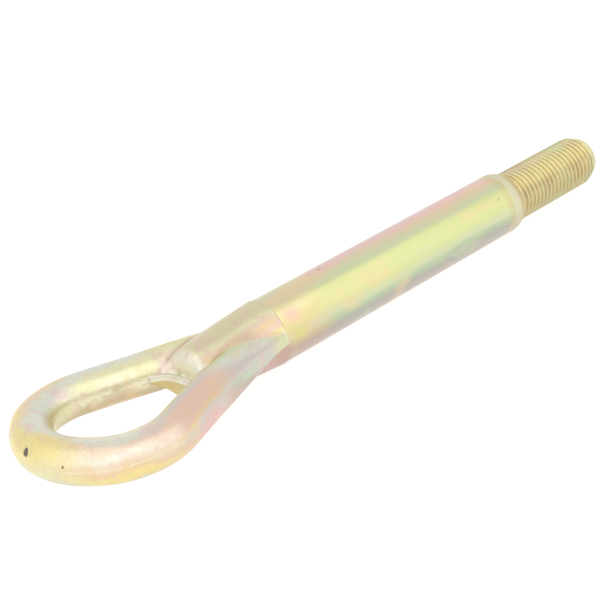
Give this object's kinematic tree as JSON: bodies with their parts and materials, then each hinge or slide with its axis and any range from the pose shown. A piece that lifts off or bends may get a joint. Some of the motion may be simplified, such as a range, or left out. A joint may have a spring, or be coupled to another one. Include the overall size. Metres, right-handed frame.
{
  "type": "screw-in tow eye",
  "caption": "Forged steel towing eye with a pear-shaped ring, a turned round shank and an M18 threaded end, yellow zinc plated.",
  "frame": {"origin": "on the shank's axis, in the plane of the shoulder where the thread begins", "axes": "+X along the shank and out of the threaded tip, +Z square to the plane of the eye's ring, which lies in XY"},
  "size_m": [0.237, 0.0664, 0.0226],
  "materials": {
    "yellow_zinc_steel": "zinc plated with an iridescent yellow chromate"
  },
  "bodies": {
    "root": {"tow_eye": "yellow_zinc_steel"}
  },
  "joints": []
}
